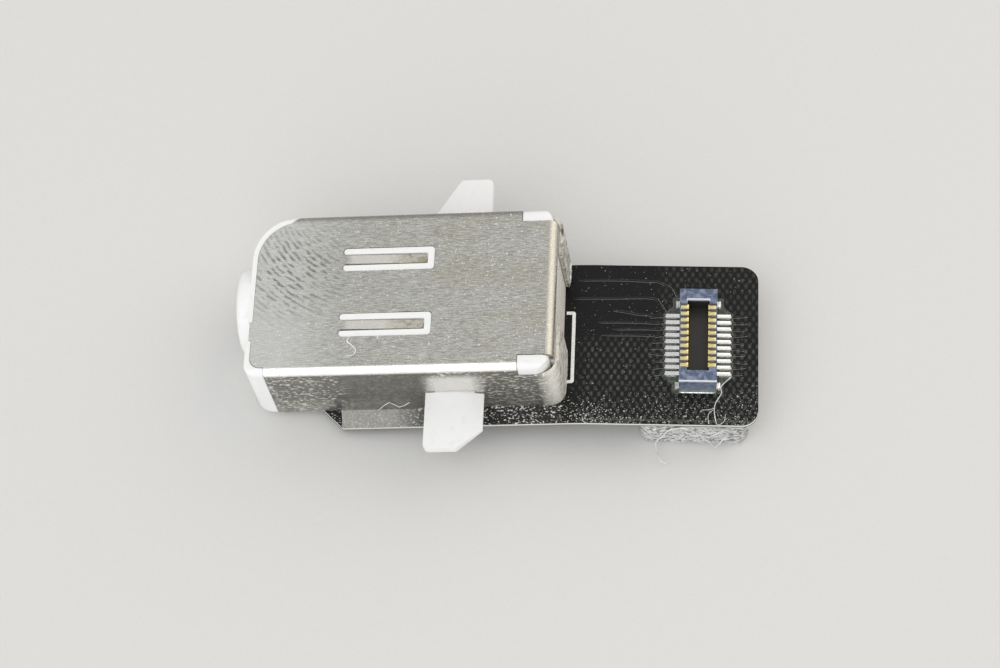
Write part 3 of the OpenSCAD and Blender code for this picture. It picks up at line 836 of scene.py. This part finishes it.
def strand(shape, line, radius, sides=6):
    """Adds a round thread along a line of points."""
    rings, across = [], None
    for i, point in enumerate(line):
        ahead = (line[min(i + 1, len(line) - 1)] - line[max(i - 1, 0)]).normalized()
        across = ahead.orthogonal() if across is None else across - ahead * across.dot(ahead)
        across.normalize()
        side = ahead.cross(across)
        rings.append(
            [
                shape.verts.new(point + radius * (across * math.cos(a) + side * math.sin(a)))
                for a in (2 * math.pi * k / sides for k in range(sides))
            ]
        )
    for a, b in zip(rings, rings[1:]):
        for i in range(sides):
            j = (i + 1) % sides
            shape.faces.new((a[i], a[j], b[j], b[i]))
    shape.faces.new(rings[0][::-1])
    shape.faces.new(rings[-1])


curls = random.Random(11)
fibres = bmesh.new()
for _ in range(FIBRES):
    along = curls.uniform(PAD_FRONT + 0.5, PAD_BACK - 0.5)
    height = curls.uniform(PAD_LOW + 0.15, PAD_HIGH - 0.1)
    heading = curls.uniform(0, 2 * math.pi)
    points = []
    for _ in range(FIBRE_POINTS):
        off = FILM_NEAR + curls.uniform(-0.02, 0.05)
        points.append(TAIL @ Vector((along, off, height)))
        heading += curls.uniform(-FIBRE_CURL, FIBRE_CURL)
        along = min(max(along + 0.22 * math.cos(heading), PAD_FRONT + 0.35), PAD_BACK - 0.35)
        height = min(max(height + 0.16 * math.sin(heading), PAD_LOW + 0.1), PAD_HIGH - 0.05)
    strand(fibres, smoothed(points, 4), FIBRE_RADIUS, 5)
piece("foam_pad_fibres", fibres, fibre)


# Board connector: a dark blue moulding with two rows of ten stamped contacts and a tinned strap
# through each end, reflowed onto a bare window in the film.

WINDOW = ((1.95, 1.98), (1.42, 2.42), (1.42, 3.0))  # corners of the bare window in one quarter
WINDOW_THICK = 0.006
SOLDER_WIDTH = 0.3
SOLDER_RISE = 0.11
SOLDER_START = 1.08  # from the connector's middle line
STRAP_FOOT = 1.17  # from the connector's middle line to the straps' feet
STRAP_START, STRAP_LENGTH = 2.29, 0.5  # along the rows
STRAP_RISE = 0.2  # of the lumps of solder on the straps' feet
FOOT_LAP = 0.06  # how far the solder runs past a contact's foot
END_HALF = 1  # half the length of the thin line of solder at the near end
END_GAP, END_WIDTH, END_RISE = 0.03, 0.11, 0.04


def beside_connector(across, along):
    """The place in the part of a point across the connector's rows and along them."""
    point = on_tail(ROW_MIDDLE[0] + across, ROW_MIDDLE[1] + along)
    return point.x, point.y


# Bare laminate: a dull grey-green under the solder, where the black film is cut away.
bare, tree, shader, place = start("bare_flex_laminate", Roughness=0.5)
tree.links.new(
    add(tree, "Mix", patches(tree, place, 0.2, 0.4, 0.65), "#3A3F36", "#5C6257", data_type="RGBA"),
    shader.inputs["Base Color"],
)

quarter = [Vector(p) for p in WINDOW]
outline = [(p.x, p.y) for p in quarter]
outline += [(-p.x, p.y) for p in reversed(quarter)]
outline += [(-p.x, -p.y) for p in quarter]
outline += [(p.x, -p.y) for p in reversed(quarter)]
piece(
    "solder_window",
    slab([beside_connector(*p) for p in outline], 0.0, WINDOW_THICK),
    bare,
)


def measured(tree, place, direction):
    """How far a place lies from the foot of the connector's middle, along one of the tail's directions."""
    off = add(tree, "VectorMath", place, on_tail(*ROW_MIDDLE), operation="SUBTRACT")
    return add(tree, "VectorMath", off, TAIL.to_3x3() @ Vector(direction), operation="DOT_PRODUCT")


# Moulded blue plastic: a slate blue, semi-matt, mottled with a paler bloom of dust and flux, with a
# painted highlight along two edges, painted shade between the contacts, and the slot painted nearly
# black as painted shade.
SLOT_HALF, BODY_HALF = 2.2, 2.88  # from the middle to the slot's end and to the body's end
SLOT_SIDE = 0.62
GOLD_REACH = 0.94  # from the middle line to the end of the contacts' gold
ROWS_HALF = 1.98  # from the middle to the end of the rows
blue, tree, shader, place = start("moulded_slate_blue_plastic", Roughness=0.4)
height = measured(tree, place, (0, 0, 1))
along = measured(tree, place, (0, 1, 0))
across = add(tree, "Math", measured(tree, place, (1, 0, 0)), operation="ABSOLUTE")
in_slot = add(tree, "MapRange", across, SLOT_SIDE + 0.04, SLOT_SIDE)
# Painted shade: the inside of the slot, below the top, nearly black.
slot_shade = add(
    tree,
    "Math",
    in_slot,
    add(tree, "MapRange", add(tree, "Math", along, operation="ABSOLUTE"), SLOT_HALF + 0.04, SLOT_HALF),
    operation="MULTIPLY",
)
slot_shade = add(tree, "Math", slot_shade, add(tree, "MapRange", height, 1.2, 1.0), operation="MULTIPLY")
# Top edges at the far end of the slot and at the near end: where a painted highlight lies.
far_edge = add(
    tree,
    "MapRange",
    add(tree, "Math", add(tree, "Math", along, SLOT_HALF, operation="SUBTRACT"), operation="ABSOLUTE"),
    0.1,
    0.05,
)
near_edge = add(
    tree,
    "MapRange",
    add(tree, "Math", add(tree, "Math", along, BODY_HALF, operation="ADD"), operation="ABSOLUTE"),
    0.09,
    0.04,
)
edge_highlight = add(
    tree, "Math", add(tree, "Math", far_edge, in_slot, operation="MULTIPLY"), near_edge, operation="MAXIMUM"
)
edge_highlight = add(tree, "Math", edge_highlight, add(tree, "MapRange", height, 1.16, 1.22), operation="MULTIPLY")
# Rows of contacts: where painted shade darkens the moulding between the contacts.
row_shade = within(tree, across, SLOT_SIDE, GOLD_REACH, 0.03)
row_shade = add(tree, "Math", row_shade, within(tree, along, -ROWS_HALF, ROWS_HALF, 0.04), operation="MULTIPLY")
tone = add(
    tree, "Mix", patches(tree, place, 0.26, 0.42, 0.66, detail=5), "#505C76", "#848FA2", data_type="RGBA"
)
# Painted shade between the contacts.
tone = add(
    tree, "Mix", add(tree, "Math", row_shade, 0.5, operation="MULTIPLY"), tone, "#584C54", data_type="RGBA"
)
tone = add(
    tree, "Mix", add(tree, "MapRange", height, 0.95, 0.15, 0.0, 0.5), tone, "#98A19E", data_type="RGBA"
)
# Painted highlight along the two top edges.
tone = add(tree, "Mix", edge_highlight, tone, "#E3E6EC", data_type="RGBA")
# Painted shade turns the slot's inside nearly black.
tree.links.new(add(tree, "Mix", slot_shade, tone, "#2A2928", data_type="RGBA"), shader.inputs["Base Color"])
tree.links.new(
    add(tree, "Bump", Height=patches(tree, place, 0.07, 0.3, 0.7), Distance=0.003 * MM),
    shader.inputs["Normal"],
)

connector = piece("connector_moulding", softened("connector_body", 0.015), blue)
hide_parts("connector_body")

# Reflowed solder: bright silver-grey, glossy where it has flowed and duller in patches.
solder, tree, shader, place = start("reflowed_solder", Metallic=1.0)
dull = patches(tree, place, 0.18, 0.35, 0.65, detail=3)
tree.links.new(add(tree, "Mix", dull, "#FBFBF8", "#DDDCD6", data_type="RGBA"), shader.inputs["Base Color"])
tree.links.new(add(tree, "MapRange", dull, 0, 1, 0.18, 0.4), shader.inputs["Roughness"])
tree.links.new(add(tree, "Bump", Height=dull, Distance=0.01 * MM), shader.inputs["Normal"])

for node in ("hold_down_far", "hold_down_near"):
    strap = piece(f"{node}_strap", softened(node, 0.02), solder)
    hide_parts(node)

# Gold-plated contacts: yellow on the inner side, where they touch, and tinned with solder outside.
plated, tree, shader, place = start("gold_and_tin_contact", Metallic=1.0, Roughness=0.25)
across = measured(tree, place, (1, 0, 0))
tinned = add(
    tree, "MapRange", add(tree, "Math", across, operation="ABSOLUTE"), GOLD_REACH, GOLD_REACH + 0.04
)
wear = patches(tree, place, 0.1, 0.4, 0.7)
tree.links.new(
    add(
        tree,
        "Mix",
        tinned,
        add(tree, "Mix", wear, "#FFF2B4", "#FFE088", data_type="RGBA"),
        add(tree, "Mix", wear, "#FCFCFA", "#E6E5E0", data_type="RGBA"),
        data_type="RGBA",
    ),
    shader.inputs["Base Color"],
)

fillets = bmesh.new()
for row, side in (("a", -1), ("b", 1)):
    for i in range(CONTACTS):
        node = f"board_contact_{row}{i + 1}"
        contact = piece(f"{node}_strip", softened(node, 0.02), plated)
        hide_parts(node)
        y = ROW_MIDDLE[1] + (i - (CONTACTS - 1) / 2) * CONTACT_STEP
        reach = FOOT_END + FOOT_LAP - SOLDER_START
        steps = [side * (SOLDER_START + reach * k / 8) for k in range(9)]
        line = [on_tail(ROW_MIDDLE[0] + step, y) for step in steps]
        ridge(fillets, line, SOLDER_WIDTH, SOLDER_RISE, tail_up)
for side, end in ((-1, -1), (-1, 1), (1, -1), (1, 1)):
    steps = [end * (STRAP_START + STRAP_LENGTH * k / 6) for k in range(7)]
    line = [on_tail(ROW_MIDDLE[0] + side * STRAP_FOOT, ROW_MIDDLE[1] + step) for step in steps]
    ridge(fillets, line, SOLDER_WIDTH, STRAP_RISE, tail_up)
steps = [ROW_MIDDLE[0] - END_HALF + 2 * END_HALF * k / 12 for k in range(13)]
line = [on_tail(step, ROW_MIDDLE[1] - BODY_HALF - END_GAP) for step in steps]
ridge(fillets, line, END_WIDTH, END_RISE, tail_up)
piece("contact_solder", fillets, solder)


# Solder along the foot of the can's rear wall: a lumpy bead under each of the two flaps, that fixes the
# can to the circuit.

BEADS = (  # place across the part, and how far the bead stands out from the flaps' face
    ((3.9, 0.02), (3.6, 0.1), (3.1, 0.12), (2.6, 0.08), (2.2, 0.01)),
    ((-1.75, 0.01), (-2.1, 0.04), (-2.5, 0.06), (-3.3, 0.06), (-3.9, 0.04), (-4.2, 0.02)),
)
BEAD_LUMPS = 0.18  # share by which its thickness varies
BEAD_TALL = 1.5  # its height, as a multiple of how far it stands out
bead = bmesh.new()
for run in BEADS:
    rows = []
    for y, out, _ in smoothed([(y, out, 0) for y, out in run], 6):
        lump = 1 + BEAD_LUMPS * noise.noise(Vector((y * 2.3, 4.0, 1.0)))
        ring = [bead.verts.new((CAN_REAR - 0.05, y, FILM_TOP - 0.01))]
        for k in range(7):
            angle = math.pi / 2 * k / 6
            bulge = 1 - 0.25 * math.sin(2 * angle)
            ring.append(
                bead.verts.new(
                    (
                        CAN_REAR - 0.02 + out * lump * math.cos(angle) * bulge,
                        y,
                        FILM_TOP - 0.01 + BEAD_TALL * out * lump * math.sin(angle) * bulge,
                    )
                )
            )
        rows.append(ring)
    for a, b in zip(rows, rows[1:]):
        for i in range(len(a)):
            j = (i + 1) % len(a)
            bead.faces.new((a[i], a[j], b[j], b[i]))
    bead.faces.new(rows[0][::-1])
    bead.faces.new(rows[-1])
piece("rear_solder_bead", bead, solder)


# Lint: a few stray pale fibres that have caught on the can, the connector and the pad. They are of the
# same polyester as the pad's own loose fibres, and only lie on the part.

LINT_RADIUS = 0.036
THIN_LINT, FINE_LINT = LINT_RADIUS * 0.7, LINT_RADIUS * 0.4
lint = bmesh.new()
top_curl = ((5.79, -3.03), (5.67, -3.29), (5.96, -3.57), (6.17, -3.85), (6.06, -4.14), (5.65, -4.21))
strand(lint, smoothed([(x, y, CAN_TOP + LINT_RADIUS) for x, y in top_curl], 8), LINT_RADIUS)
wall_zigzag = ((6.76, -5.26, -2.03), (7.5, -5.24, -1.15), (7.98, -5.24, -1.75), (8.65, -5.24, -1.2))
strand(lint, smoothed(wall_zigzag, 2), THIN_LINT)
on_film = (  # along the tail, across the part and above the film
    (
        (7.55, -3.4, 0.2),
        (7.01, -3.97, 0.12),
        (7.02, -4.36, 0.05),
        (6.71, -4.97, 0.04),
        (6.64, -5.49, 0.04),
        (6.76, -6.26, 0.04),
    ),
    ((5.94, -5.4, 0.03), (6.31, -5.37, 0.03), (6.68, -5.28, 0.05)),
    ((6.66, -5.35, 0.05), (6.45, -5.48, 0.03), (6.31, -5.72, 0.03), (6.33, -6.24, 0.03)),
    ((6.8, -6.26, 0.03), (7.0, -6.25, 0.03), (7.2, -6.02, 0.03), (7.25, -5.64, 0.03)),
)
for k, points in enumerate(on_film):
    strand(lint, smoothed([on_tail(*p) for p in points], 8), FINE_LINT if k else THIN_LINT)
pad_strand = (
    (25.83, -6.37, -3.24),
    (24.77, -6.37, -4.06),
    (23.78, -6.37, -2.95),
    (22.84, -6.37, -3.09),
    (22.45, -6.4, -3.72),
    (21.97, -6.5, -4.45),
    (22.2, -7.4, -4.55),
    (22.45, -7.65, -4.57),
    (22.68, -7.55, -4.59),
)
strand(lint, smoothed(pad_strand, 8), LINT_RADIUS)
pad_loop = ((24.47, -6.37, -3.87), (25, -6.45, -4.75), (25.22, -6.65, -4.82), (25.84, -6.37, -4.1))
strand(lint, smoothed(pad_loop, 8), LINT_RADIUS * 0.8)
piece("lint_fibres", lint, fibre)


# Stage: a pale matt floor that the socket rests on by its collar and its pad, and so tilts a little,
# under two large soft boxes and an even sky.

FLOOR_HALF = 400
collar_foot = Vector((-0.5, 0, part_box("housing")[0].z / MM))
drops = [v.co / MM - collar_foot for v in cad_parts["foam_pad"].data.vertices]
tilt = max(math.atan2(-drop.z, drop.x) for drop in drops)

# Matt paper: an even pale grey.
paper, tree, shader, place = start("pale_matt_paper", Roughness=0.9)
tree.links.new(
    add(tree, "Mix", patches(tree, place, 0.2, 0.3, 0.7), "#DDDCD9", "#DBDAD7", data_type="RGBA"),
    shader.inputs["Base Color"],
)

floor_mesh = bpy.data.meshes.new("floor")
corners = [(x * FLOOR_HALF, y * FLOOR_HALF) for x, y in ((-1, -1), (1, -1), (1, 1), (-1, 1))]
floor_mesh.from_pydata(
    [Vector((x, y, collar_foot.z - (x - collar_foot.x) * math.tan(tilt))) * MM for x, y in corners],
    [],
    [(0, 1, 2, 3)],
)
floor_mesh.materials.append(paper)
floor = bpy.data.objects.new("floor", floor_mesh)
bpy.context.scene.collection.objects.link(floor)

middle = (cad_low + cad_high) / 2
for name, place, width, height, power, tint in (
    ("front_soft_box", (-0.1, -0.36, 0.36), 0.6, 1.0, 1.8, "#FFFFFF"),
    ("right_soft_box", (0.34, 0.21, 0.2), 0.5, 0.5, 0.65, "#FFF4E4"),
):
    lamp = bpy.data.lights.new(name, "AREA")
    lamp.shape = "RECTANGLE"
    lamp.size, lamp.size_y = width, height
    lamp.energy = power
    lamp.color = linear(tint)[:3]
    holder = bpy.data.objects.new(name, lamp)
    holder.location = place
    holder.rotation_euler = (middle - Vector(place)).to_track_quat("-Z", "Y").to_euler()
    bpy.context.scene.collection.objects.link(holder)

sky = bpy.data.worlds.new("even_sky")
sky.use_nodes = True
sky.node_tree.nodes["Background"].inputs["Color"].default_value = linear("#D3D4D6")
sky.node_tree.nodes["Background"].inputs["Strength"].default_value = 1.0
bpy.context.scene.world = sky
bpy.context.scene.view_settings.view_transform = "Standard"


# Camera: above the near side, at the photograph's angle and framing. Its place and directions come
# from a fit to the can's edges, the slots and the tail.

CAMERA_AT = (36.29, -79.695, 144.717)
CAMERA_RIGHT = (0.99030621, 0.04051028, -0.13286279)
CAMERA_UP = (0.02707134, 0.88189338, 0.47067101)
camera = bpy.data.cameras.new("camera")
camera.sensor_width = 36
camera.lens = 108.45
camera.clip_start, camera.clip_end = 0.01, 10
holder = bpy.data.objects.new("camera", camera)
right, up = Vector(CAMERA_RIGHT), Vector(CAMERA_UP)
turn = Matrix((right, up, right.cross(up))).transposed()
holder.matrix_world = Matrix.Translation(Vector(CAMERA_AT) * MM) @ turn.to_4x4()
bpy.context.scene.collection.objects.link(holder)
bpy.context.scene.camera = holder
